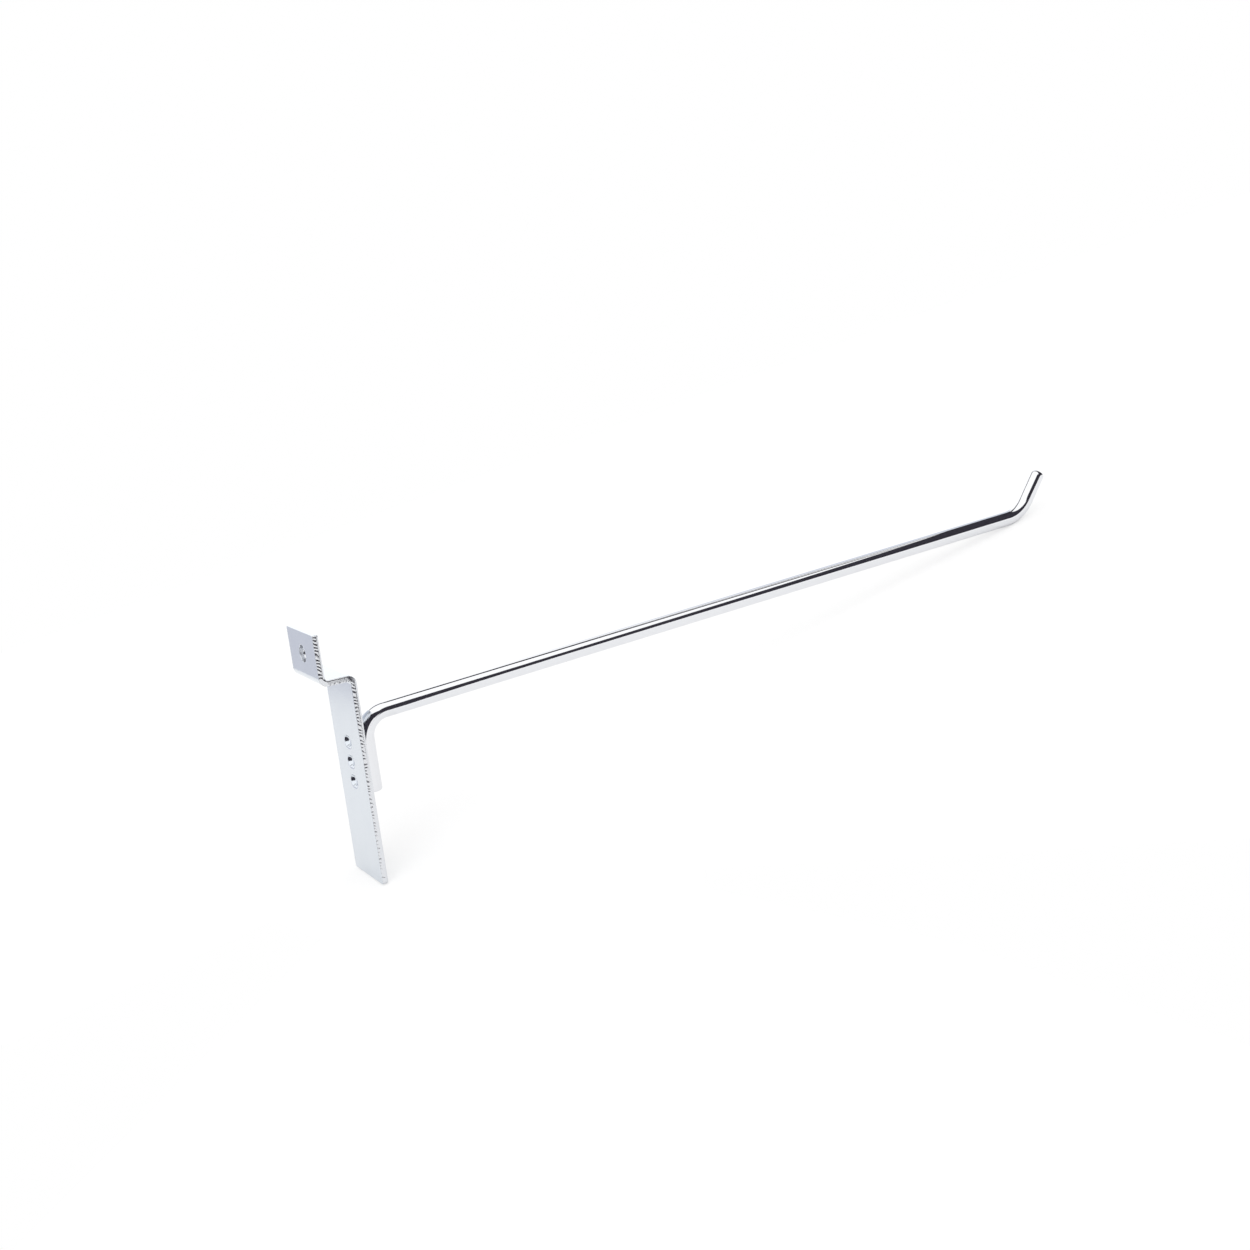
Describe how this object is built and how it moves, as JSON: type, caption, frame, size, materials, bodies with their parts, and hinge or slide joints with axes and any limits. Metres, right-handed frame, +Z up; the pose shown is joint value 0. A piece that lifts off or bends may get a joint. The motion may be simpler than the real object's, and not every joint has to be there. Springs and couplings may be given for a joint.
{
  "type": "slatwall hook",
  "caption": "Chromed slatwall hook: a folded steel strip that hangs in a slat groove, with a long round wire arm welded to its front and turned up at the tip.",
  "frame": {"origin": "middle of the strip's width, at the corner of the plate's back face and the underside of the step, where the front top edge of the lower slat sits", "axes": "+X across the strip, +Y into the wall, -Y out along the arm, +Z up"},
  "size_m": [0.025, 0.3122, 0.086],
  "materials": {
    "chromed_strip": "bright chrome plate over rolled steel strip, with rough sheared edges",
    "chromed_wire": "bright chrome plate over drawn steel wire"
  },
  "bodies": {
    "root": {"back_plate": "chromed_strip", "hook_arm": "chromed_wire"}
  },
  "joints": []
}
